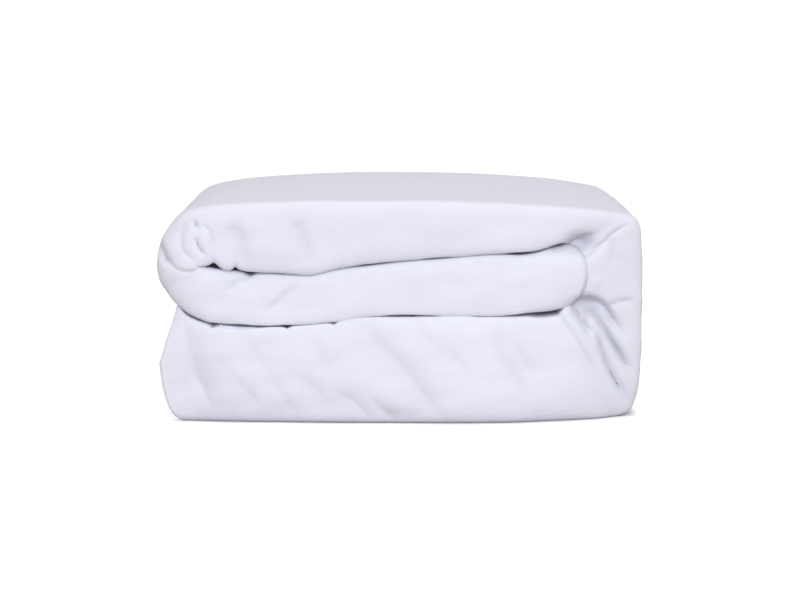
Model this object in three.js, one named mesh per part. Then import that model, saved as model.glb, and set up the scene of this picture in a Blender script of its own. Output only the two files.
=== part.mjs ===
// Folded mattress protector: one soft sheet with sewn-in sides, put away as it comes off the shelf.
// The sheet is folded lengthwise, back and forth, into a strip of eight plies. The strip is then
// rolled over itself: along the bottom, up at the right, back along the top, round at the left,
// and its end is tucked in between as a middle layer. The front ply covers the front as a smooth wall.
// Millimetres, +Z up, +X to the right, front towards -Y, origin under the middle of the bottom.

import * as THREE from "three";

const CLOTH_THICKNESS = 2.5;
const HALF = CLOTH_THICKNESS / 2;
const PLIES = 8;
const DEPTH = 245; // front to back
const FRONT = -DEPTH / 2 + HALF; // middle of the cloth at the foremost point of the wall
const BACK = DEPTH / 2 - HALF;

const WALL_REACH = 10; // how far back the rounded edges of the front wall run
const WALL_EDGE = 3; // superellipse power: high is a crisp edge, 2 is a round one
const INSIDE_GAP = 6; // from the front wall to the folds inside it
const BACK_STAGGER = 2.5; // how unevenly the folds line up at the back
const RIGHT_TAPER = 0.045; // how much narrower the right half is at the back
const LEFT_DROOP = 0.025; // how much lower the left end is at the back

// The roll seen from the front, a row for each section on its way, in the middle of the cloth:
// the outer and the inner ply, and how far the front wall stands back at each of them.
const ROLL_COLUMNS = ["outerX", "outerZ", "innerX", "innerZ", "outerBack", "innerBack", "crown"];
const ROLL = [
  // bottom layer, left to right, flat on what it lies on
  [-150, HALF, -156, 79.6, 8, 8, 0],
  [-142, HALF, -149, 73.6, 6, 4, 0],
  [-130, HALF, -133, 67.2, 4, 1, 0],
  [-86, HALF, -86, 65.4, 2, 0, 0],
  [-44, HALF, -44, 68.8, 1, 0, 0],
  [-20, HALF, -20, 72, 0, 0, 0],
  [72, HALF, 70, 72.5, 1, 1, 0],
  [104, HALF, 98, 73.4, 6, 3, 0],
  [124, HALF, 112, 74.6, 12, 5, 0],
  [142, HALF, 121, 79, 19, 8, 0],
  [155, HALF, 126, 83.6, 27, 10, 0],
  // up the right side
  [163, 3.5, 127.6, 87, 30, 12, 0],
  [167.3, 12, 128.6, 90, 32, 13, 0],
  [170.6, 30, 129.4, 94, 32, 13.5, 0],
  [172.6, 62, 129.9, 99.5, 30, 13.5, 0],
  [172.6, 95, 130, 105.5, 27, 13, 0],
  [171.4, 122, 129.6, 111, 25, 12.5, 0],
  [168.8, 134, 128.6, 115, 23, 12, 0.5],
  // top layer, right to left
  [163.5, 141, 126.2, 118.5, 20, 11, 1],
  [148, 145.2, 119, 124.3, 13, 8.5, 3],
  [122, 149, 109.5, 125.2, 7, 4.5, 4],
  [92, 151.4, 90, 120.3, 3, 1, 4],
  [45, 153.6, 50, 116.9, 0, 0, 4],
  [0, 154.1, 0, 113.9, 0, 0, 4],
  [-42, 154.1, -42, 109.1, 0, 0, 4],
  [-68, 154, -68, 104.9, 0, 0, 3.5],
  [-112, 152.6, -104, 106.5, 1, 0, 3],
  [-135, 150.1, -126, 110, 4, 0, 1.5],
  // round at the left
  [-149.5, 146, -135.5, 110.6, 6, 0, 0],
  [-160.5, 135.5, -140.8, 110.5, 7, 0, 0],
  [-167.8, 123, -142.9, 109.8, 8, 0, 0],
  [-170, 109.5, -143.6, 108.3, 8, 1, 0],
  [-167, 97, -142.9, 106.8, 8, 2, 0],
  [-158, 85.6, -140.4, 106.1, 6, 3, 0],
  [-145.5, 76, -132, 105.4, 3, 4.5, 0],
  // middle layer, left to right, its end tucked in
  [-130, 70.6, -114, 103.4, 1, 5, 0],
  [-100, 68.5, -98, 103, 1, 5, 0],
  [-70, 69.5, -70, 101.7, 1, 5, 0],
  [-46, 71.8, -44, 105.4, 1, 5, 0],
  [-20, 75.2, -20, 108.3, 1, 5, 0],
  [30, 75.7, 30, 113.1, 1, 5, 0],
  [80, 76, 80, 115.6, 2, 5, 0],
  [94, 77.8, 94, 116.9, 3, 5, 0],
  [106, 79.3, 106, 119.3, 4, 5, 0],
  [116.5, 80.7, 116.5, 120.6, 8, 8, 0],
];

// The two free ends of the strip are round: how far their middle reaches past the rows above, how
// much of that the folds inside have, and how full it is towards the outer and the inner ply.
const FREE_ENDS = {
  left: { reach: -14, fadesOver: 16, inside: 1, outerPower: 2.6, innerPower: 1 },
  middle: { reach: 12.5, fadesOver: 14, inside: 0.8, outerPower: 1.6, innerPower: 2.8 },
};

// Main creases of the front wall: the way they run in X and Z, and their width and depth.
// A depth below zero is a ridge.
const CREASES = [
  { name: "pocket at the inner corner", way: [[130, 87], [141, 82], [153, 65]], width: 7, depth: 8 },
  { name: "upper pleat of the right side", way: [[139, 75], [146, 62], [160, 39]], width: 5.5, depth: 5 },
  { name: "lower pleat of the right side", way: [[139, 60], [146, 37], [158, 17]], width: 5.5, depth: 5 },
  { name: "ridge under the tucked end", way: [[120, 76], [133, 56], [152, 20]], width: 6, depth: -3 },
  { name: "crease under the tucked end", way: [[112, 74], [124, 57], [138, 33]], width: 4.5, depth: 3 },
  { name: "right drag line", way: [[67, 61], [76, 39], [88, 17]], width: 7, depth: 3.5 },
  { name: "middle drag line", way: [[12, 68], [26, 52], [48, 32]], width: 8, depth: 3 },
  { name: "main drag line", way: [[-23, 67], [-2, 43], [26, 9]], width: 8, depth: 4.5 },
  { name: "low drag line", way: [[-44, 23], [-30, 13], [-22, 5]], width: 7, depth: 3 },
  { name: "left drag line", way: [[-91, 34], [-78, 14]], width: 7, depth: 3 },
  { name: "far left drag line", way: [[-116, 33], [-99, 14]], width: 7, depth: 3 },
  { name: "corner crease", way: [[-148, 57], [-143, 33], [-132, 10]], width: 6, depth: 3.5 },
  { name: "groove of the left turn", way: [[-163, 114], [-158, 109], [-148, 106]], width: 5, depth: 3.5 },
  { name: "nose of the left turn", way: [[-148, 138], [-152, 127], [-146, 115]], width: 5, depth: 4 },
  { name: "left dent of the top", way: [[-118, 134], [-110, 129], [-110, 110]], width: 6, depth: 3.5 },
  { name: "right dent of the top", way: [[-73, 139], [-66, 121], [-64, 111]], width: 7, depth: 3 },
  { name: "mitre at the top right", way: [[160, 139], [146, 130], [131, 117]], width: 6, depth: 4 },
  { name: "recess over the tucked end", way: [[114, 125], [122, 128], [134, 132]], width: 4.5, depth: 4 },
  { name: "long fold of the middle layer", way: [[-107, 99], [-120, 90]], width: 5, depth: 2.5 },
  { name: "short fold of the middle layer", way: [[-76, 92], [-97, 75]], width: 5, depth: 2.5 },
];

const COARSE_STEP = 44; // length of a step along the strip, halved on the front wall
const WALL_STEPS = 10; // steps down the front wall
const TURN_STEPS = 3; // steps round each fold

// One column of the roll as a smooth curve through its rows that never overshoots them.
function smoothColumn(places, values) {
  const slopes = values.slice(1).map((value, i) => (value - values[i]) / (places[i + 1] - places[i]));
  const tangents = values.map((_, i) => {
    const before = slopes[Math.max(i - 1, 0)];
    const after = slopes[Math.min(i, slopes.length - 1)];
    return before * after <= 0 ? 0 : (2 * before * after) / (before + after);
  });
  return (place) => {
    let i = 0;
    while (i < places.length - 2 && place > places[i + 1]) i += 1;
    const step = places[i + 1] - places[i];
    const a = (place - places[i]) / step;
    const rise = a * a * (3 - 2 * a);
    const leave = a * (1 - a) * (1 - a) * step;
    const arrive = a * a * (a - 1) * step;
    return values[i] * (1 - rise) + values[i + 1] * rise + tangents[i] * leave + tangents[i + 1] * arrive;
  };
}

// Where each row lies along the strip, measured halfway between the outer and the inner ply.
const PLACES = ROLL.reduce((places, row, i) => {
  if (i === 0) return [0];
  const [outerX, outerZ, innerX, innerZ] = row.map((value, k) => value - ROLL[i - 1][k]);
  return [...places, places[i - 1] + (Math.hypot(outerX, outerZ) + Math.hypot(innerX, innerZ)) / 2];
}, []);
const LENGTH = PLACES[PLACES.length - 1];
const curves = Object.fromEntries(
  ROLL_COLUMNS.map((name, k) => [name, smoothColumn(PLACES, ROLL.map((row) => row[k]))]),
);

const mix = (a, b, share) => a + (b - a) * share;

// A rounded form: 1 at height 0, falling to 0 at the heights -1 and 1.
const rounded = (height, power) => Math.pow(1 - Math.pow(Math.min(Math.abs(height), 1), power), 1 / power);

// How far a free end reaches out at this place, at a height from -1 (inner ply) to 1 (outer ply).
function endReach(end, distance, height) {
  const near = Math.max(0, 1 - distance / end.fadesOver);
  return end.reach * near * near * rounded(height, height > 0 ? end.outerPower : end.innerPower);
}

// How deep the creases press the wall in at a point of the front.
function creaseDepth(x, z) {
  let depth = 0;
  for (const crease of CREASES) {
    let nearest = Infinity;
    for (let i = 1; i < crease.way.length; i += 1) {
      const [ax, az] = crease.way[i - 1];
      const [bx, bz] = crease.way[i];
      const [dx, dz] = [bx - ax, bz - az];
      const along = THREE.MathUtils.clamp(((x - ax) * dx + (z - az) * dz) / (dx * dx + dz * dz), 0, 1);
      nearest = Math.min(nearest, Math.hypot(x - ax - along * dx, z - az - along * dz));
    }
    depth += crease.depth * Math.exp(-Math.pow(nearest / crease.width, 2));
  }
  return depth;
}

// The outline of the cloth across the strip, as points with a height from -1 (inner) to 1 (outer).
// "ply" runs from 0 at the wall to 1 at the back, and "turn" rises to 1 in the middle of a fold.
function crossOutline() {
  const points = [];
  const level = (ply) => 1 - (2 * ply) / (PLIES - 1);
  // inner ply, from its free edge at the back to the wall
  points.push({ height: -1, ply: 1 }, { height: -1, ply: 0.45 });
  // front wall, in steps of even length on a layer of usual size
  const [fine, halfWall] = [400, 24];
  const heights = Array.from({ length: fine + 1 }, (_, i) => {
    const angle = (i / fine - 0.5) * Math.PI;
    return Math.sign(angle) * Math.pow(Math.abs(Math.sin(angle)), 2 / WALL_EDGE);
  });
  const lengths = [0];
  for (let i = 1; i <= fine; i += 1) {
    const rise = (heights[i] - heights[i - 1]) * halfWall;
    const run = (rounded(heights[i], WALL_EDGE) - rounded(heights[i - 1], WALL_EDGE)) * WALL_REACH;
    lengths.push(lengths[i - 1] + Math.hypot(rise, run));
  }
  for (let step = 0; step <= WALL_STEPS; step += 1) {
    const wanted = (lengths[fine] * step) / WALL_STEPS;
    const i = Math.max(lengths.findIndex((length) => length >= wanted - 1e-9), 0);
    points.push({ height: heights[i], onWall: true });
  }
  // outer ply, from the wall to the back
  for (const share of [0.25, 0.5, 0.75]) points.push({ height: 1, ply: share });
  // the plies inside, back and forth, each with a round turn to the next
  for (let ply = 0; ply < PLIES - 2; ply += 1) {
    const atBack = ply % 2 === 0;
    const [from, to] = [level(ply), level(ply + 1)];
    for (let step = 0; step <= TURN_STEPS; step += 1) {
      const angle = (step / TURN_STEPS) * Math.PI;
      const height = (from + to) / 2 + ((from - to) / 2) * Math.cos(angle);
      points.push({ height, turn: Math.sin(angle), atBack, stagger: (ply % 4) - 1 });
    }
  }
  points.push({ height: level(PLIES - 2), ply: 0.96 });
  return points;
}

// Where a point of the outline lies at a place along the strip.
function clothPoint(place, point) {
  const at = Object.fromEntries(ROLL_COLUMNS.map((name) => [name, curves[name](place)]));
  const share = (1 + point.height) / 2;
  const turnRadius = Math.hypot(at.outerX - at.innerX, at.outerZ - at.innerZ) / (PLIES - 1) / 2;
  let x = mix(at.innerX, at.outerX, share);
  let z = mix(at.innerZ, at.outerZ, share);
  for (const [end, distance] of [[FREE_ENDS.left, place], [FREE_ENDS.middle, LENGTH - place]]) {
    x += endReach(end, distance, point.height) * (point.onWall ? 1 : end.inside);
  }
  const wallFront = FRONT + mix(at.innerBack, at.outerBack, share);
  const wall = wallFront + WALL_REACH * (1 - rounded(point.height, WALL_EDGE));
  const depth = creaseDepth(x, z);
  let y = wall + depth;
  if (point.ply !== undefined) {
    y = mix(wall, BACK, point.ply);
    if (point.height === 1) z += at.crown * Math.sin(Math.PI * point.ply);
  } else if (point.atBack) {
    y = BACK - turnRadius * (1 - point.turn) - BACK_STAGGER * Math.max(point.stagger, 0);
  } else if (!point.onWall) {
    y = wall + Math.max(depth, 0) + INSIDE_GAP + turnRadius * (1 - point.turn);
  }
  const depthShare = (y - FRONT) / (BACK - FRONT);
  const leftEnd = THREE.MathUtils.clamp((-x - 40) / 110, 0, 1);
  z -= (z - HALF) * LEFT_DROOP * depthShare * leftEnd;
  if (x > 0) x *= 1 - RIGHT_TAPER * depthShare;
  return new THREE.Vector3(x, y, z);
}

// The places along the strip: an even number of fine steps between one row and the next.
function stepsAlong() {
  const steps = [0];
  for (let i = 1; i < PLACES.length; i += 1) {
    const count = 2 * Math.max(1, Math.round((PLACES[i] - PLACES[i - 1]) / COARSE_STEP));
    for (let k = 1; k <= count; k += 1) steps.push(mix(PLACES[i - 1], PLACES[i], k / count));
  }
  return steps;
}

// The middle of the cloth as a net of points: rows of the wall have every step, others every second.
function clothNet() {
  const steps = stepsAlong();
  const outline = crossOutline();
  const points = [];
  const rows = outline.map((point) => {
    const row = [];
    steps.forEach((place, i) => {
      if (!point.onWall && i % 2 === 1) return;
      row.push(points.length);
      points.push(clothPoint(place, point));
    });
    return row;
  });
  const triangles = [];
  for (let k = 1; k < rows.length; k += 1) {
    const [near, far] = [rows[k - 1], rows[k]];
    if (near.length === far.length) {
      for (let i = 1; i < near.length; i += 1) {
        triangles.push([near[i - 1], near[i], far[i]], [near[i - 1], far[i], far[i - 1]]);
      }
      continue;
    }
    const nearIsFine = near.length > far.length;
    const [fine, coarse] = nearIsFine ? [near, far] : [far, near];
    for (let i = 1; i < coarse.length; i += 1) {
      const [a, b, c] = [fine[2 * i - 2], fine[2 * i - 1], fine[2 * i]];
      const fan = [[a, b, coarse[i - 1]], [b, coarse[i], coarse[i - 1]], [b, c, coarse[i]]];
      for (const triangle of fan) triangles.push(nearIsFine ? triangle : triangle.reverse());
    }
  }
  const edge = [...rows[0], ...rows.slice(1).map((row) => row[row.length - 1])];
  edge.push(...rows[rows.length - 1].slice(0, -1).reverse());
  edge.push(...rows.slice(1, -1).map((row) => row[0]).reverse());
  return { points, triangles, edge };
}

// Gives the net its thickness: the points moved to both sides, and a strip round the edge.
function thickCloth({ points, triangles, edge }) {
  const normals = points.map(() => new THREE.Vector3());
  const [ab, ac] = [new THREE.Vector3(), new THREE.Vector3()];
  for (const [a, b, c] of triangles) {
    ab.subVectors(points[b], points[a]);
    ac.subVectors(points[c], points[a]);
    const angle = ab.angleTo(ac);
    const normal = ab.cross(ac).normalize().multiplyScalar(angle);
    for (const corner of [a, b, c]) normals[corner].add(normal);
  }
  normals.forEach((normal) => normal.normalize());
  const count = points.length;
  const positions = [];
  for (const side of [1, -1]) {
    points.forEach((point, i) => {
      const moved = point.clone().addScaledVector(normals[i], side * HALF);
      positions.push(moved.x, moved.y, moved.z);
    });
  }
  const index = [];
  for (const [a, b, c] of triangles) index.push(a, b, c, count + c, count + b, count + a);
  edge.forEach((from, i) => {
    const to = edge[(i + 1) % edge.length];
    index.push(from, count + from, to, to, count + from, count + to);
  });
  const geometry = new THREE.BufferGeometry();
  geometry.setAttribute("position", new THREE.Float32BufferAttribute(positions, 3));
  geometry.setIndex(index);
  return geometry;
}

const softWhiteCloth = new THREE.MeshStandardMaterial({ color: 0xeeeef8, roughness: 0.95, metalness: 0 });

const protector = new THREE.Mesh(thickCloth(clothNet()), softWhiteCloth);
protector.name = "protector_cloth";

const foldedProtector = new THREE.Group();
foldedProtector.add(protector);

export default foldedProtector;
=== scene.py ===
import math

import bpy
import numpy as np
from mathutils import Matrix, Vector


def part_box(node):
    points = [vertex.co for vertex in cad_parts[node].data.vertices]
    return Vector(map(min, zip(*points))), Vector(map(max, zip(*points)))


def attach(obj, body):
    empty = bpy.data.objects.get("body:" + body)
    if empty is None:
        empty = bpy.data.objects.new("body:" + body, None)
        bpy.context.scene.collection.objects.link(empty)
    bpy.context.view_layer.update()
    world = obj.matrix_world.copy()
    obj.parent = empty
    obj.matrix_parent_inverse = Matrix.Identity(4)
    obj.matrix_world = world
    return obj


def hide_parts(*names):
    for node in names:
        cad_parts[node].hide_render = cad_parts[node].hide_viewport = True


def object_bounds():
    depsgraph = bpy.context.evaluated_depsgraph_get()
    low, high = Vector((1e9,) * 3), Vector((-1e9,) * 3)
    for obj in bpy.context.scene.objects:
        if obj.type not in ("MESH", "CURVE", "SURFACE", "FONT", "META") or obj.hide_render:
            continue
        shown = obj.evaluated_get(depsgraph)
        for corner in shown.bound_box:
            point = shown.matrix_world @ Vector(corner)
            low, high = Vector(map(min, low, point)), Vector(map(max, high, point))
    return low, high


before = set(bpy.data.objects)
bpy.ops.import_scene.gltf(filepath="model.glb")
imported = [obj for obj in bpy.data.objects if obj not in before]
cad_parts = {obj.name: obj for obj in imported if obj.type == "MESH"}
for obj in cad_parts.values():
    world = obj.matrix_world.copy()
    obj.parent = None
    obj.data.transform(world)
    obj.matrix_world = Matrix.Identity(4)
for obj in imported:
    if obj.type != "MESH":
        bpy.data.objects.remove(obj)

cad_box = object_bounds()

# Camera
# The block is seen from the front and a little from above, from far enough away that its sides
# hardly converge, as in a catalogue picture.
PHOTO_WIDTH = 800
PHOTO_FOCUS = 2671  # focal length in pixels of the picture
SENSOR = 36.0
EYE_HEIGHT = 0.330
EYE_DISTANCE = 1.8425  # from the front of the block
AIM_HEIGHT = 0.070

camera = bpy.data.objects.new("camera", bpy.data.cameras.new("camera"))
camera.data.sensor_width = SENSOR
camera.data.lens = PHOTO_FOCUS / PHOTO_WIDTH * SENSOR
camera.location = (0, cad_box[0][1] - EYE_DISTANCE, EYE_HEIGHT)
aim = Vector((0, 0, AIM_HEIGHT)) - camera.location
camera.rotation_euler = aim.to_track_quat("-Z", "Y").to_euler()
bpy.context.collection.objects.link(camera)
bpy.context.scene.camera = camera

# Floor
# A plain white studio floor. It runs far enough in every direction that its edge never shows, it
# is bright where it is seen, and it throws back less light than it shows, like a shaded table.
# Its glow is dimmed close to the cloth as a painted contact shadow.
FLOOR_REACH = 30.0
FLOOR_COLOUR = (0.95, 0.95, 0.95, 1)
FLOOR_GLOW = 0.55
FLOOR_BOUNCE = (0.33, 0.33, 0.33, 1)
CONTACT_REACH = 0.008  # how far the painted contact shadow in the floor's glow spreads


class Socket:
    """A socket of a material's node tree, with the arithmetic that its finish needs."""

    def __init__(self, tree, link):
        self.tree = tree
        self.link = link

    def node(self, kind, settings=None, inputs=None, output=0):
        made = self.tree.nodes.new(kind)
        for name, value in (settings or {}).items():
            if name == "stops":
                ramp = made.color_ramp
                for stop, (place, colour) in zip(list(ramp.elements), value[:2]):
                    stop.position, stop.color = place, colour
                for place, colour in value[2:]:
                    ramp.elements.new(place).color = colour
            else:
                setattr(made, name, value)
        for name, value in (inputs or {}).items():
            if isinstance(value, Socket):
                self.tree.links.new(value.link, made.inputs[name])
            else:
                made.inputs[name].default_value = value
        return Socket(self.tree, made.outputs[output])

    def maths(self, operation, *values):
        return self.node("ShaderNodeMath", {"operation": operation}, dict(enumerate(values)))

    def __add__(self, other):
        return self.maths("ADD", self, other)

    def __mul__(self, other):
        return self.maths("MULTIPLY", self, other)

    __radd__ = __add__
    __rmul__ = __mul__

    def scaled(self, scale):
        return self.node("ShaderNodeVectorMath", {"operation": "MULTIPLY"}, {0: self, 1: scale})

    def mixed(self, first, second):
        """The first colour where this share is 0, and the second where it is 1."""
        inputs = {"Factor": self, 6: first, 7: second}
        return self.node("ShaderNodeMix", {"data_type": "RGBA"}, inputs, output=2)

    def feeds(self, inputs, name):
        self.tree.links.new(self.link, inputs[name])


def new_finish(name):
    """A new material with its Principled shader, and a socket to start expressions from."""
    material = bpy.data.materials.new(name)
    material.use_nodes = True
    tree = material.node_tree
    return material, tree.nodes["Principled BSDF"], Socket(tree, None)


floor_mesh = bpy.data.meshes.new("floor")
floor_corners = [(x * FLOOR_REACH, y * FLOOR_REACH, 0) for x, y in ((-1, -1), (1, -1), (1, 1), (-1, 1))]
floor_mesh.from_pydata(floor_corners, [], [(0, 1, 2, 3)])
floor = bpy.data.objects.new("floor", floor_mesh)
bpy.context.collection.objects.link(floor)
floor_finish, floor_shader, start = new_finish("studio_floor")
floor_shader.inputs["Base Color"].default_value = FLOOR_COLOUR
floor_shader.inputs["Roughness"].default_value = 1.0
floor_shader.inputs["Specular IOR Level"].default_value = 0.0
floor_shader.inputs["Emission Strength"].default_value = FLOOR_GLOW
seen = start.node("ShaderNodeLightPath", output="Is Camera Ray")
# Painted contact shadow: the glow fades where the cloth hides the floor close by.
painted_shadow_openness = start.node("ShaderNodeAmbientOcclusion", {}, {"Distance": CONTACT_REACH}, output="AO")
(painted_shadow_openness * painted_shadow_openness * painted_shadow_openness).feeds(floor_shader.inputs, "Emission Color")
bounce = start.node("ShaderNodeBsdfDiffuse", {}, {"Color": FLOOR_BOUNCE})
shown = Socket(floor_finish.node_tree, floor_shader.outputs[0])
floor_mix = start.node("ShaderNodeMixShader", {}, {0: seen, 1: bounce, 2: shown})
floor_mix.feeds(floor_finish.node_tree.nodes["Material Output"].inputs, "Surface")
floor_mesh.materials.append(floor_finish)

# Light
# A broad soft light from the front and above, in a white room that is dimmer overhead.
ROOM_STOPS = [(0.0, 1.02), (0.35, 0.82), (1.0, 0.54)]  # sine of the height in the sky, brightness
SOFTBOX = {"at": (0.12, -2.4, 0.85), "size": (1.6, 1.2), "power": 31.5}

world = bpy.data.worlds.new("white_room")
world.use_nodes = True
sky = Socket(world.node_tree, None)
direction = sky.node("ShaderNodeTexCoord", output="Generated")
height_in_sky = sky.node("ShaderNodeSeparateXYZ", {}, {0: direction}, output="Z")
room_stops = [(place, (bright, bright, bright, 1)) for place, bright in ROOM_STOPS]
room = sky.node("ShaderNodeValToRGB", {"stops": room_stops}, {0: height_in_sky})
room.feeds(world.node_tree.nodes["Background"].inputs, "Color")
bpy.context.scene.world = world
bpy.context.scene.view_settings.view_transform = "Standard"
lamp = bpy.data.lights.new("softbox", "AREA")
lamp.shape = "RECTANGLE"
lamp.size, lamp.size_y = SOFTBOX["size"]
lamp.energy = SOFTBOX["power"]
softbox = bpy.data.objects.new("softbox", lamp)
softbox.location = SOFTBOX["at"]
facing = Vector((0, 0, AIM_HEIGHT)) - softbox.location
softbox.rotation_euler = facing.to_track_quat("-Z", "Y").to_euler()
bpy.context.collection.objects.link(softbox)

# The folded cloth
# The whole protector is one soft sheet. It is folded back and forth into a strip of eight plies,
# rolled over itself and tucked in, and its front ply covers the front as one smooth wall.
MM = 0.001
low, high = (np.array(corner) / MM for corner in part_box("protector_cloth"))
CLOTH_THICKNESS = 2.5
HALF = CLOTH_THICKNESS / 2
PLIES = 8
FRONT = low[1] + HALF
BACK = high[1] - HALF
INSIDE_GAP = 4.0  # from the front wall to the folds inside it
BACK_ROOM = 4.0  # from the end of a flat ply to the back, for its fold
BACK_STAGGER = 2.5  # how unevenly the folds line up at the back
RIGHT_TAPER = 0.045  # how much narrower the right half is at the back
LEFT_DROOP = 0.025  # how much lower the left end is at the back
DROOP_STARTS, DROOP_RUN = 40.0, 110.0  # from how far left of the middle, and over what length

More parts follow.
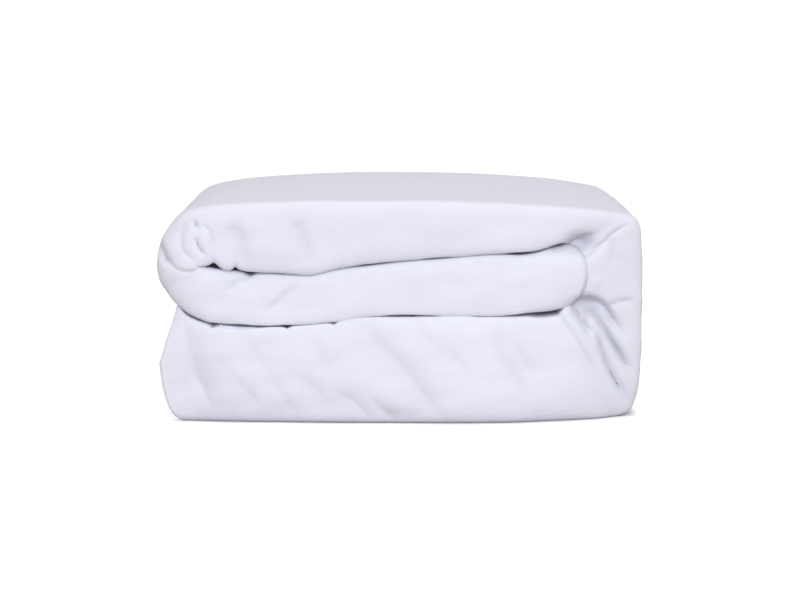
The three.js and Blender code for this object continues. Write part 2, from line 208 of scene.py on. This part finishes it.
# The roll seen from the front, in millimetres, a row for each section on its way: the outer and
# the inner ply, how far the wall stands back at each, the crown of the top, how far back the
# rounded edges of the wall run, how crisp they are (2 is round), and the step along the strip.
ROLL_COLUMNS = (
    "outer_x outer_z inner_x inner_z outer_back inner_back crown "
    "outer_reach inner_reach outer_edge inner_edge step"
).split()
ROLL = [
    # bottom layer, left to right, flat on what it lies on
    (-148, HALF, -156.0, 80.3, 1, 13, 0, 6, 5, 2.6, 3.0, 1.2),
    (-145.4, HALF, -153.5, 76.6, 0.5, 9, 0, 6, 4, 2.5, 3.0, 1.2),
    (-141, HALF, -149, 72.4, -0.5, 5.5, 0, 6.5, 4, 2.4, 3.0, 1.4),
    (-136, HALF, -139, 68.2, -2.5, 2.4, 0, 7.5, 3, 2.3, 3.0, 1.4),
    (-130, HALF, -132, 66.7, -4, 1, 0, 8, 2.4, 2.3, 3.0, 1.4),
    (-100, HALF, -100, 65.4, -6.5, 0, 0, 8, 2.1, 2.6, 3.0, 1.8),
    (-72, HALF, -72, 66.4, -8, 0, 0, 8, 2.2, 2.6, 3.0, 1.6),
    (-44, HALF, -44, 69, -10, 0, 0, 8.5, 2.5, 2.6, 3.0, 1.6),
    (-22, HALF, -22, 72.1, -11.5, 0, 0, 9, 3, 2.5, 3.0, 1.6),
    (0, HALF, 0, 72.9, -12.5, 0, 0, 9, 3.6, 2.5, 3.0, 1.8),
    (30, HALF, 30, 72.9, -12.5, 0, 0, 9, 3.6, 2.5, 3.0, 1.8),
    (75, HALF, 72, 72.5, -11, 1, 0, 9.5, 3.6, 2.35, 3.0, 1.6),
    (90, HALF, 86, 72.6, -8.5, 2, 0, 9.8, 3.6, 2.15, 3.0, 1.4),
    (106, HALF, 98, 71.2, -4.5, 3, 0, 9.5, 3.6, 2.08, 3.0, 1.2),
    (124, HALF, 112, 72.6, 1, 5, 0, 8.5, 4.4, 2.1, 3.0, 1.2),
    (140, HALF, 121, 78.8, 8, 7, 0, 6.5, 6, 2.3, 2.8, 1.2),
    (152, HALF, 126, 83.2, 16, 9, 0, 6.5, 4, 2.4, 2.5, 1.2),
    # up the right side
    (162.2, 3.5, 127.6, 87, 20, 10.2, 0, 7, 2, 2.4, 2.5, 1.2),
    (166.6, 11, 128.6, 90, 22, 10.4, 0, 7, 1.8, 3.2, 2.5, 1.2),
    (169.8, 30, 129.4, 94, 23, 10.6, 0, 8, 1.8, 3.8, 2.5, 1.2),
    (171.6, 62, 129.9, 99.5, 23, 10.6, 0, 8.5, 1.8, 4.2, 2.5, 1.4),
    (171.3, 95, 130, 105.5, 22, 10.6, 0, 8.5, 1.8, 4.2, 2.5, 1.4),
    (170, 122, 129.6, 111, 20.5, 10.6, 0, 8.5, 1.8, 4.2, 2.5, 1.2),
    (168.6, 134, 128.6, 115, 19.5, 10.6, 0.5, 9, 2.2, 4.0, 2.5, 1.2),
    (165.5, 140.5, 126.6, 118, 18.5, 10.2, 1, 9, 3.2, 4.0, 2.5, 1.2),
    # top layer, right to left
    (159, 143.3, 123, 120.9, 17, 10, 2, 9, 5, 4.0, 2.6, 1.2),
    (145, 145.7, 118, 124, 12, 8, 3, 8, 6, 4.2, 2.8, 1.2),
    (128, 148.3, 112.5, 125.3, 8, 5, 4, 8, 4.5, 4.2, 3.0, 1.4),
    (112, 149.9, 105, 123.3, 5, 3, 4, 8, 4.5, 4.2, 3.0, 1.8),
    (92, 151.4, 90, 119.9, 3, 1, 4, 8, 4.5, 4.2, 3.0, 2.0),
    (68, 152.8, 68, 119.4, 2, 0, 4, 8, 4.5, 4.2, 3.0, 2.0),
    (36, 153.8, 45, 117.4, 0, 0, 4, 8, 4.5, 4.2, 3.0, 2.2),
    (0, 154.1, 0, 113.9, 0, 0, 4, 8, 4.5, 4.2, 3.0, 2.0),
    (-42, 154.1, -42, 109.1, 0, 0, 4, 8, 4.5, 4.2, 3.0, 1.8),
    (-65, 154, -65, 104.9, 0, 0, 4, 8, 4.5, 4.2, 3.0, 1.5),
    (-87, 153.6, -87, 105.7, 0, 0, 3, 8, 4.5, 4.2, 3.0, 1.4),
    (-112, 152.6, -103, 106.5, 1, 0, 3, 8, 4, 4.0, 3.0, 1.2),
    (-130, 150.8, -121, 109.6, 3, 0, 2, 9, 5, 3.6, 3.2, 1.2),
    (-140, 149, -130, 110.1, 5, 0, 1, 10, 5, 3.2, 2.8, 1.2),
    # round at the left
    (-149.5, 146, -136, 110.3, 6, 0, 0, 11, 5, 2.8, 2.4, 1.2),
    (-160, 136.5, -139.5, 110.3, 8, 0, 0, 12, 4, 2.2, 2.4, 1.2),
    (-167.2, 125, -141.4, 109.8, 9, 0, 0, 11, 4, 2.1, 2.4, 1.2),
    (-170.2, 112, -142, 108.7, 10, 0, 0, 11, 4, 2.1, 2.4, 1.2),
    (-168.4, 100, -141.4, 107.6, 9, 1, 0, 10, 4, 2.2, 2.4, 1.2),
    (-163, 90.5, -139.5, 107.1, 8, 2, 0, 8, 4, 2.3, 2.4, 1.3),
    (-155, 82.3, -136.5, 106.9, 4.8, 3, 0, 6.5, 5, 2.5, 2.6, 1.5),
    (-146.5, 76, -134, 106.6, 2.2, 4, 0, 6, 6, 2.6, 2.8, 1.5),
    # middle layer, left to right, its end tucked in
    (-139, 73, -125, 104.6, 2, 4, 0, 5, 5, 3.0, 3.0, 1.4),
    (-131, 70.6, -114, 103.8, 1, 6, 0, 4, 6, 3.4, 3.4, 1.4),
    (-100, 68, -98, 102.7, 1, 6, 0, 3.2, 4, 3.4, 3.2, 1.6),
    (-72, 69, -72, 102.2, 1, 6, 0, 3.2, 4, 3.4, 3.2, 1.8),
    (-44, 71.7, -42, 106.2, 1, 5.5, 0, 3.2, 4, 3.4, 3.2, 1.8),
    (-22, 75, -20, 108.6, 1, 4, 0, 3.2, 4, 3.4, 3.2, 2.0),
    (0, 75.6, 2, 111.3, 1, 4, 0, 3.2, 4, 3.4, 3.2, 2.2),
    (30, 75.6, 30, 113.6, 1, 4, 0, 3.2, 4, 3.4, 3.2, 2.2),
    (62, 75.2, 62, 116, 1, 4, 0, 3.2, 4, 3.4, 3.2, 1.8),
    (80, 76.1, 82, 115.9, 1, 5, 0, 3.2, 4, 3.4, 3.2, 1.5),
    (93, 78, 94, 117.2, 2, 5.5, 0, 5, 5, 3.6, 3.4, 1.3),
    (106, 79.1, 106, 120.3, 4, 6.5, 0, 6, 6, 3.0, 3.0, 1.2),
    (116.5, 80.7, 116.5, 121.9, 8, 8, 0, 6, 6, 2.6, 2.6, 1.2),
]

# The two free ends of the strip are round: how far their middle reaches past the rows above, how
# much of that the folds inside have, and how full it is towards the outer and the inner ply.
FREE_ENDS = {
    "left": {"reach": -16.6, "fades_over": 14.0, "inside": 1.0, "outer_power": 2.8, "inner_power": 0.95},
    "middle": {"reach": 14, "fades_over": 14.0, "inside": 0.85, "outer_power": 1.6, "inner_power": 2.8},
}

# Small waves of the inner plies along the gaps between the layers: on which layer, at which X, how
# wide, and how far the cloth rises. Below are the stretches of the strip that are in each layer.
EDGE_WAVES = [
    ("first_scallop", "top_layer", -129.5, 4.2, 2.8),
    ("first_swell", "top_layer", -120.5, 3.5, -1.6),
    ("second_scallop", "top_layer", -114.6, 2.4, 2.0),
    ("fold_dip", "middle_layer", -105, 4.4, -2.6),
    ("left_notch", "bottom_layer", -131.0, 2.4, -1.6),
    ("second_notch", "bottom_layer", -78.8, 2.4, -1.5),
    ("third_notch", "bottom_layer", -46.0, 3.0, -1.8),
    ("ridge_under_end", "bottom_layer", 116.5, 3.6, 3.4),
]
LAYER_STRETCHES = {"bottom_layer": (0, 300), "top_layer": (400, 700), "middle_layer": (720, 1200)}

# Creases of the front wall: how deep each presses the cloth in, how wide it is to the left and to
# the right of the way it runs, and that way in X and Z.
CREASES = [
    # right side: pleats that fan out from the inner corner
    ("pocket", 8, 3, 5, [
        (121.4, 82), (129.2, 84.8), (136.9, 83.3), (143.3, 79.1), (148.8, 71.9), (153, 64.9),
        (156.5, 58.4),
    ]),
    ("upper_pleat", 8, 3, 2.5, [
        (133, 77.5), (138.8, 71.5), (143.4, 64.6), (147.2, 57.4), (152.8, 48), (158.8, 38.4), (164.4, 31),
    ]),
    ("lower_pleat", 5, 3, 2.2, [
        (138.5, 58), (142, 47.5), (146.6, 35), (151.5, 25.5), (157, 17), (163, 8),
    ]),
    ("end_notch", 6, 3, 2.6, [(120.5, 80), (126.5, 72.5), (131.3, 64.5), (134, 59)]),
    ("thin_line", 1.7, 1.6, 1.8, [(111, 74.8), (119.4, 64), (126.9, 52.8), (133.2, 42.5), (141.5, 30.8)]),
    ("side_line", 1.6, 1.6, 3, [(147, 81), (155, 83), (165.5, 83.6)]),
    ("mitre", 2, 1.7, 1.5, [
        (128.5, 114), (136.6, 119.8), (143.4, 125.8), (147.3, 129.8), (153, 133.8), (161.5, 138),
    ]),
    ("recess_rim", 5, 1.4, 4, [(104, 122), (112, 123.2), (119, 126.3), (127, 129.6), (135, 132)]),
    ("wrap_band", 0.9, 4, 4, [(147, 128), (148.5, 117), (147, 106)]),
    # left turn: the groove of the outer band, and the crescents of the nose inside it
    ("groove", 6.4, 2.8, 2.4, [(-169.5, 124), (-166.5, 118.5), (-163.2, 113.5), (-158.2, 108.8)]),
    ("groove_end", 1, 1.8, 1.8, [(-160, 110.6), (-155, 107), (-148, 105.6), (-141, 107.8)]),
    ("nose_line", 1.4, 2, 2.6, [
        (-146.5, 139.5), (-150.5, 133.5), (-152, 127.5), (-150.8, 120.5), (-146.5, 116), (-142.5, 112.5),
    ]),
    ("wavy_line", 2.8, 2, 1.8, [(-143.5, 141), (-142, 137.6), (-140.6, 133.4)]),
    ("wavy_end", 2.1, 1.8, 1.6, [(-141.6, 129), (-141, 125.6), (-138.6, 120.5), (-135, 116)]),
    ("bump_rim", 1.2, 2, 2, [(-138, 137.2), (-134, 135.6), (-131.8, 131), (-131.8, 125.5), (-134, 121)]),
    # dents of the top layer
    ("left_dent", 1.5, 5, 5, [
        (-121, 134.5), (-113, 133.8), (-110.5, 129), (-109.5, 121.5), (-110, 112.5), (-110.5, 108.5),
    ]),
    ("right_dent", 1.3, 5.4, 6, [(-73.5, 140), (-69, 132), (-65.5, 119), (-64, 110.5)]),
    # creases of the middle layer
    ("long_fold", 2, 1.4, 3, [(-105.5, 100.5), (-114.5, 96), (-120, 90.5)]),
    ("short_fold", 1.4, 2, 2.6, [(-74, 94.5), (-84.5, 84.5), (-98, 74.5)]),
]

# Drag lines of the bottom layer, from its left corner to the right, in the same columns. The cloth
# slopes slowly into each from the right and turns at a crisp line.
DRAG_LINES = [
    ("corner_edge", 2.5, 9, 3, [
        (-151, 71.5), (-147.5, 57), (-145.5, 42), (-143, 33), (-137, 22), (-131, 8),
    ]),
    ("drag_0", 0.7, 5, 6, [(-105, 60), (-101.4, 49.4), (-97, 39)]),
    ("drag_1", 1.6, 4.5, 11, [(-118, 36), (-111, 26.5), (-104, 19.5), (-97, 12)]),
    ("drag_2", 1.4, 5, 9, [(-93, 37), (-84.5, 23.5), (-77.5, 13.5), (-71, 5)]),
    ("drag_3", 1.0, 5, 5, [(-59, 58), (-53, 45), (-49.5, 35)]),
    ("drag_4", 1.5, 4.5, 9, [(-71, 34), (-60, 25.5), (-52, 18)]),
    ("drag_5", 2.4, 5.5, 6, [(-46, 24), (-37.5, 18), (-30.5, 13.5), (-24.5, 8), (-19, 2)]),
    ("main_drag", 2.4, 7.5, 5, [(-26, 71), (-16.5, 58.5), (-2, 43), (12.5, 25.5), (22.5, 12), (29, 3)]),
    ("low_drag", 2.3, 5.5, 5, [(-22.5, 19.5), (-14.5, 12), (-8, 6.5), (-1, 2)]),
    ("drag_6", 1.0, 5, 5.5, [(10, 71.5), (18, 61.5), (25.5, 52), (32, 44)]),
    ("drag_7", 1.0, 5, 5, [(31.5, 55.5), (39.5, 44.5), (49, 31)]),
    ("right_drag", 1.7, 4.5, 3.4, [
        (66.5, 63), (69.3, 50), (74.3, 41), (80.3, 31.3), (85.5, 23.5), (89, 15),
    ]),
    ("drag_8", 1.1, 4.2, 4, [(76, 62), (83, 50.3), (95, 33.5)]),
]
CREASE_ROUNDNESS, DRAG_ROUNDNESS = 2, 1.3  # of the section across: 2 is round, less is sharper
CREASE_RISE, DRAG_RISE = 8, 1.6  # how quickly each deepens from its start
CREASE_FADE, DRAG_FADE = 3, 4  # and fades to its end
DEPTH_AT_START, DEPTH_AT_END = 0.3, 0.1  # shares of its full depth

# Small dents and bumps of the wall: where, how wide and high they are, and how deep. A depth
# below zero stands out.
DENTS = [
    ("oval_bump", -136.5, 129, 3.4, 5.5, -1.2),
    ("inner_corner", 131, 78.5, 7.5, 6.0, 13.0),
    ("end_bump", 137, 96.5, 3.0, 4.0, -1.2),
    ("lobe", 134, 69, 3.5, 4.0, -1.4),
    ("corner_hollow", -129, 32, 9.0, 16.0, 0.8),
    ("low_hollow_1", -92, 10, 18.0, 8.0, 0.7),
    ("low_hollow_2", -45, 14, 14.0, 8.0, 0.7),
    ("low_hollow_3", 2, 5, 14.0, 6.0, 1.6),
    ("top_recess", 126, 124.5, 8.0, 6.0, 13.0),
]


def mix(a, b, share):
    return a + (b - a) * share


def curves_through(places, rows, slopes, wanted):
    """The rows' values at the wanted places, on smooth curves with the given slopes at the rows."""
    i = np.clip(np.searchsorted(places, wanted, side="right") - 1, 0, len(places) - 2)
    step = (places[i + 1] - places[i])[:, None]
    a = ((wanted - places[i])[:, None]) / step
    rise = a * a * (3 - 2 * a)
    return (
        rows[i] * (1 - rise) + rows[i + 1] * rise
        + slopes[i] * a * (1 - a) ** 2 * step + slopes[i + 1] * a * a * (a - 1) * step
    )


def steady_slopes(places, rows):
    """Slopes at the rows with which the curves never overshoot them."""
    rises = np.diff(rows, axis=0) / np.diff(places)[:, None]
    before = np.vstack([rises[:1], rises])
    after = np.vstack([rises, rises[-1:]])
    product = before * after
    total = np.where(product > 0, before + after, 1.0)
    return np.where(product > 0, 2 * product / total, 0.0)


def smooth_way(points, pieces=6):
    """A way through a few points, as a line of many short pieces."""
    points = np.array(points, float)
    lengths = np.r_[0, np.cumsum(np.hypot(*np.diff(points, axis=0).T))]
    wanted = np.linspace(0, lengths[-1], pieces * (len(points) - 1) + 1)
    return curves_through(lengths, points, np.gradient(points, lengths, axis=0), wanted)


def crease_depth(x, z, crease, roundness, rise, fade):
    """How deep one crease presses the wall in at the points x, z."""
    _, depth, left_width, right_width, way = crease
    line = smooth_way(way)
    starts, runs = line[:-1], np.diff(line, axis=0)
    from_start = np.stack([x, z], -1)[:, None, :] - starts
    along = np.clip((from_start * runs).sum(-1) / (runs**2).sum(1), 0, 1)
    apart = from_start - along[..., None] * runs
    distance = np.hypot(apart[..., 0], apart[..., 1])
    nearest = distance.argmin(1)
    point = np.arange(len(x))
    run = runs[nearest]
    side = run[:, 0] * from_start[point, nearest, 1] - run[:, 1] * from_start[point, nearest, 0]
    width = np.where(side > 0, left_width, right_width)
    share = (nearest + along[point, nearest]) / len(runs)
    rising = share * rise + DEPTH_AT_START
    fading = (1 - share) * fade + DEPTH_AT_END
    strength = np.minimum(1, np.minimum(rising, fading))
    return depth * strength * np.exp(-((distance[point, nearest] / width) ** roundness))


def wall_depth(x, z):
    """How deep all creases and dents together press the wall in at the points x, z."""
    total = np.zeros(len(x))
    for crease in CREASES:
        total += crease_depth(x, z, crease, CREASE_ROUNDNESS, CREASE_RISE, CREASE_FADE)
    for crease in DRAG_LINES:
        total += crease_depth(x, z, crease, DRAG_ROUNDNESS, DRAG_RISE, DRAG_FADE)
    for _, dent_x, dent_z, wide, high, depth in DENTS:
        total += depth * np.exp(-(((x - dent_x) / wide) ** 2) - ((z - dent_z) / high) ** 2)
    return total


# The steps along the strip, with the rows' values at each. The plies inside have every fourth one.
COARSEST = 4
OUTER_WEIGHT = 0.8  # how far the outer ply, where it is the longer, sets the number of steps
rows = np.array(ROLL, float)
moves = np.diff(rows[:, :4], axis=0)
outer_lengths = np.hypot(moves[:, 0], moves[:, 1])
row_lengths = (outer_lengths + np.hypot(moves[:, 2], moves[:, 3])) / 2
places = np.r_[0, np.cumsum(row_lengths)]
strip_length = places[-1]
steps = [0.0]
for i, length in enumerate(row_lengths):
    longest = max(length, outer_lengths[i] * OUTER_WEIGHT)
    count = COARSEST * max(1, round(longest / rows[i, -1] / COARSEST))
    steps += list(places[i] + length * np.arange(1, count + 1) / count)
steps = np.array(steps)
at = dict(zip(ROLL_COLUMNS, curves_through(places, rows, steady_slopes(places, rows), steps).T))
for _, layer, x, wide, rise in EDGE_WAVES:
    first_place, last_place = LAYER_STRETCHES[layer]
    on_layer = (steps >= first_place) & (steps <= last_place)
    at["inner_z"] += rise * on_layer * np.exp(-(((at["inner_x"] - x) / wide) ** 2))
strip_thickness = np.hypot(at["outer_x"] - at["inner_x"], at["outer_z"] - at["inner_z"])
turn_radius = strip_thickness / (PLIES - 1) / 2

# The outline of the cloth across the strip, a row for each line of points along it: the kind of
# place, the height from -1 (inner ply) to 1 (outer ply), how far along that place the line is, and
# its stride: every point along the strip, or every second or fourth.
WALL_ROWS = 48
TURN_STEPS = 6
PLY_STEPS = 5
INNER_PLY = [(share, COARSEST) for share in (1, 0.85, 0.68, 0.5, 0.34, 0.22, 0.13)] + [(0.07, 2), (0.03, 1)]
OUTER_PLY = [(0.02, 1), (0.045, 1), (0.08, 2), (0.13, 2)]
OUTER_PLY += [(share, COARSEST) for share in np.linspace(0.2, 0.97, 11)]
LAST_SHARE = 0.97  # where the last ply ends, near the back


def wall_angles():
    """Angles round the wall that give steps of even length on a layer of usual size."""
    half_height, reach, edge = 24, 10, 2.8
    angle = np.linspace(-0.5, 0.5, 2001) * math.pi
    height = np.sign(angle) * np.abs(np.sin(angle)) ** (2 / edge) * half_height
    back = reach * (1 - np.clip(np.cos(angle), 0, 1) ** (2 / edge))
    lengths = np.r_[0, np.cumsum(np.hypot(np.diff(height), np.diff(back)))]
    return np.interp(np.linspace(0, lengths[-1], WALL_ROWS + 1), lengths, angle)


def ply_lines(height, lines):
    return [{"kind": "ply", "height": height, "share": share, "stride": stride} for share, stride in lines]


outline = ply_lines(-1, INNER_PLY)
outline += [{"kind": "wall", "angle": angle, "stride": 1} for angle in wall_angles()]
outline += ply_lines(1, OUTER_PLY)
for ply in range(PLIES - 2):
    level, below = 1 - 2 * ply / (PLIES - 1), 1 - 2 * (ply + 1) / (PLIES - 1)
    for angle in np.linspace(0, math.pi, TURN_STEPS + 1):
        outline.append({
            "kind": "front_turn" if ply % 2 else "back_turn",
            "height": mix(level, below, (1 - math.cos(angle)) / 2),
            "bulge": math.sin(angle),
            "stagger": BACK_STAGGER * max(ply % 4 - 1, 0),
            "stride": COARSEST,
        })
    for share in np.linspace(0, 1, PLY_STEPS + 1)[1:-1]:
        from_front = share if ply % 2 else 1 - share
        outline.append({"kind": "inside", "height": below, "share": from_front, "stride": COARSEST})
outline.append({"kind": "inside", "height": below, "share": LAST_SHARE, "stride": COARSEST})


def end_reach(end, distance, height):
    near = np.clip(1 - distance / end["fades_over"], 0, 1)
    power = np.where(height > 0, end["outer_power"], end["inner_power"])
    return end["reach"] * near**2 * (1 - np.abs(height) ** power) ** (1 / power)


def wall_back(here, height):
    """How far behind its front the wall is at this height from -1 to 1: none in the middle."""
    reach = np.where(height > 0, here["outer_reach"], here["inner_reach"])
    edge = np.where(height > 0, here["outer_edge"], here["inner_edge"])
    return reach * (1 - (1 - np.clip(np.abs(height), 0, 1) ** edge) ** (1 / edge))


def outline_points(point, pick):
    """One line of points along the strip, at the picked steps."""
    here = {name: values[pick] for name, values in at.items()}
    place = steps[pick]
    if point["kind"] == "wall":
        edge = here["outer_edge"] if point["angle"] > 0 else here["inner_edge"]
        height = np.sign(point["angle"]) * abs(math.sin(point["angle"])) ** (2 / edge)
    else:
        height = np.full(len(place), float(point["height"]))
    share = (1 + height) / 2
    x = mix(here["inner_x"], here["outer_x"], share)
    z = mix(here["inner_z"], here["outer_z"], share)
    for end, distance in ((FREE_ENDS["left"], place), (FREE_ENDS["middle"], strip_length - place)):
        x = x + end_reach(end, distance, height) * (1 if point["kind"] == "wall" else end["inside"])
    wall_front = FRONT + mix(here["inner_back"], here["outer_back"], share)
    y = wall_front + wall_back(here, height)
    inside = y + INSIDE_GAP + np.maximum(wall_depth(x, z), 0)
    lift = 0
    if point["kind"] in ("ply", "inside"):
        y = mix(y if point["kind"] == "ply" else inside, BACK - BACK_ROOM, point["share"])
        lift = math.sin(math.pi * point["share"])
    elif point["kind"] == "back_turn":
        y = BACK - turn_radius[pick] * (1 - point["bulge"]) - point["stagger"]
    elif point["kind"] == "front_turn":
        y = inside + turn_radius[pick] * (1 - point["bulge"])
    z = z + here["crown"] * lift * share
    depth_share = (y - FRONT) / (BACK - FRONT)
    x = np.where(x > 0, x * (1 - RIGHT_TAPER * depth_share), x)
    left_end = np.clip((-x - DROOP_STARTS) / DROOP_RUN, 0, 1)
    z = z - (z - HALF) * LEFT_DROOP * depth_share * left_end
    return np.stack([x, y, z], -1)


# The net of the cloth's middle, line by line. Each point keeps how much of the creases reaches it
# and where it lies on the flat cloth, which is where the threads of the finish run.
CREASE_REACH = 0.12  # how far over the plies next to the wall its creases run, as a share of them
net, line_starts, line_counts, weights, cloth_at = [], [], [], [], []
across = 0.0
previous = None
for point in outline:
    pick = np.arange(0, len(steps), point["stride"])
    line = outline_points(point, pick)
    middle_point = line[len(line) // 2]
    across += 0.0 if previous is None else float(np.linalg.norm(middle_point - previous))
    previous = middle_point
    line_starts.append(sum(line_counts))
    line_counts.append(len(line))
    net.append(line)
    near_wall = 1.0 if point["kind"] == "wall" else 0.0
    if point["kind"] == "ply":
        near_wall = max(0.0, 1 - point["share"] / CREASE_REACH) ** 2
    weights.append(np.full(len(line), near_wall))
    cloth_at.append(np.stack([steps[pick], np.full(len(pick), across)], -1))
net, weights, cloth_at = np.concatenate(net), np.concatenate(weights), np.concatenate(cloth_at)


def line_indices(k):
    return np.arange(line_starts[k], line_starts[k] + line_counts[k])


quads, triangles = [], []
for k in range(1, len(outline)):
    near, far = line_indices(k - 1), line_indices(k)
    if len(near) == len(far):
        quads.append(np.stack([near[:-1], far[:-1], far[1:], near[1:]], -1))
        continue
    flipped = len(far) > len(near)
    fine, coarse = (far, near) if flipped else (near, far)
    fan = np.concatenate([
        np.stack([fine[0:-2:2], coarse[:-1], fine[1::2]], -1),
        np.stack([fine[1::2], coarse[:-1], coarse[1:]], -1),
        np.stack([fine[1::2], coarse[1:], fine[2::2]], -1),
    ])
    triangles.append(fan[:, ::-1] if flipped else fan)
quads, triangles = np.concatenate(quads), np.concatenate(triangles)


def net_normals(points):
    """Smooth normals of the net, pointing out of the bundle."""
    normals = np.zeros_like(points)
    for faces in (quads[:, [0, 1, 2]], quads[:, [0, 2, 3]], triangles):
        a, b, c = (points[faces[:, i]] for i in range(3))
        normal = np.cross(b - a, c - a)
        for i in range(3):
            np.add.at(normals, faces[:, i], normal)
    return normals / np.maximum(np.linalg.norm(normals, axis=1), 1e-12)[:, None]


SHADE_DEPTH = 1.5  # the depth at which a fold has most of its painted shade
normals = net_normals(net)
pressed = np.flatnonzero(weights > 0)
depth = np.zeros(len(net))
depth[pressed] = weights[pressed] * wall_depth(net[pressed, 0], net[pressed, 2])
net[:, 1] += depth
fold_shade = 1 - np.exp(-np.maximum(depth, 0) / SHADE_DEPTH)  # painted shade, deepest where creases and dents press the wall in

# Soft unevenness that every hand-folded cloth has: long low waves, none at the underside, few at
# the straight front edge of the top, and less on the plies inside.
SOFT_WAVES = ((90, 0.5), (48, 0.35), (27, 0.2), (15, 0.1))  # length, height
WAVES_OF_EACH = 4
FLAT_HEIGHT, FLAT_RUN = 3, 12  # above the underside, where the waves start and over what height
TOP_EDGE, TOP_EDGE_RUN, TOP_EDGE_CALM = 150, 14, 0.8
INSIDE_WAVES = 0.3
random = np.random.default_rng(7)
waves = np.zeros(len(net))
for length, height in SOFT_WAVES:
    for _ in range(WAVES_OF_EACH):
        turn, phase = random.uniform(0, math.pi), random.uniform(0, 2 * math.pi)
        run = (net[:, 0] * math.cos(turn) + (net[:, 1] + net[:, 2]) * math.sin(turn)) / length
        waves += height * np.sin(2 * math.pi * run + phase) / 2
calm = TOP_EDGE_CALM * np.exp(-(((net[:, 2] - TOP_EDGE) / TOP_EDGE_RUN) ** 2))
waves *= np.clip((net[:, 2] - FLAT_HEIGHT) / FLAT_RUN, 0, 1) * (1 - calm)
wave_shares = [1.0 if point["kind"] in ("wall", "ply") else INSIDE_WAVES for point in outline]
net = net + normals * (waves * np.repeat(wave_shares, line_counts))[:, None]

# The net is thickened to both sides, and a rim closes it all round.
normals = net_normals(net)
count = len(net)
points = np.concatenate([net + normals * HALF, net - normals * HALF])
points[:, 2] = np.maximum(points[:, 2], 0)
first, last = line_indices(0), line_indices(len(outline) - 1)
right_edge = [line_starts[k] + line_counts[k] - 1 for k in range(1, len(outline))]
left_edge = [line_starts[k] for k in range(1, len(outline) - 1)]
edge = np.array(list(first) + right_edge + list(last[:-1][::-1]) + left_edge[::-1])
after = np.roll(edge, -1)
rim = np.stack([edge, after, after + count, edge + count], -1)
faces = [tuple(face) for face in quads] + [tuple(face) for face in quads[:, ::-1] + count]
faces += [tuple(face) for face in triangles] + [tuple(face) for face in triangles[:, ::-1] + count]
faces += [tuple(face) for face in rim]

SHEET_SPAN = 2000.0  # the UV map holds a square of cloth of this side
cloth_mesh = bpy.data.meshes.new("folded_cloth")
cloth_mesh.from_pydata((points * MM).tolist(), [], faces)
cloth_mesh.polygons.foreach_set("use_smooth", np.ones(len(faces), bool))
uv_of_point = np.concatenate([cloth_at, cloth_at]) / SHEET_SPAN
corner_points = np.zeros(len(cloth_mesh.loops), int)
cloth_mesh.loops.foreach_get("vertex_index", corner_points)
cut_map = cloth_mesh.uv_layers.new(name="cut_pattern")
cut_map.uv.foreach_set("vector", uv_of_point[corner_points].astype(np.float32).ravel())
# Painted shade: how much each point's base colour is darkened by the folds and recesses there.
shade_layer = cloth_mesh.attributes.new("fold_shade", "FLOAT", "POINT")
shade_layer.data.foreach_set("value", np.concatenate([fold_shade, fold_shade]).astype(np.float32))
cloth = bpy.data.objects.new("folded_cloth", cloth_mesh)
bpy.context.collection.objects.link(cloth)

# Brushed cotton: white with a cool tint, fine uneven threads along the strip, a soft nap, and
# faint blotches. Each is a noise so many times finer than the map along and across the strip.
# Painted shade darkens the colour in the creases, dents and recesses of the wall.
CLOTH_WHITE = (0.80, 0.80, 0.90, 1)
THREAD_SHADE = (0.755, 0.755, 0.855, 1)
PAINTED_FOLD_SHADE_COLOUR = (0, 0, 0, 1)
PAINTED_FOLD_SHADE_AMOUNT = 0.1
THREADS = {"fineness": (260, 2400, 1), "detail": 2.0}
NAP = {"fineness": (900, 900, 1), "detail": 3.0}
BLOTCHES = {"fineness": (30, 60, 1), "detail": 2.0}
THREAD_DEPTH = 0.0006
cloth_finish, shader, start = new_finish("brushed_cotton")
cut_place = start.node("ShaderNodeUVMap", {"uv_map": "cut_pattern"})
threads, nap, blotches = (
    start.node(
        "ShaderNodeTexNoise", {},
        {"Vector": cut_place.scaled(grain["fineness"]), "Scale": 1.0, "Detail": grain["detail"]},
    )
    for grain in (THREADS, NAP, BLOTCHES)
)
# Painted shade: the base colour is mixed towards black where folds and recesses press in.
folds = start.node("ShaderNodeAttribute", {"attribute_name": "fold_shade"}, output="Fac")
colour = (threads * 0.6 + nap * 0.25 + blotches * 0.3).mixed(THREAD_SHADE, CLOTH_WHITE)
(folds * PAINTED_FOLD_SHADE_AMOUNT).mixed(colour, PAINTED_FOLD_SHADE_COLOUR).feeds(shader.inputs, "Base Color")
relief = threads * 0.6 + nap * 0.4
bump = start.node("ShaderNodeBump", {}, {"Height": relief, "Strength": 0.5, "Distance": THREAD_DEPTH})
bump.feeds(shader.inputs, "Normal")
shader.inputs["Roughness"].default_value = 0.95
shader.inputs["Specular IOR Level"].default_value = 0.15
shader.inputs["Sheen Weight"].default_value = 0.15
shader.inputs["Sheen Roughness"].default_value = 0.6
cloth_mesh.materials.append(cloth_finish)

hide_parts("protector_cloth")
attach(cloth, "root")
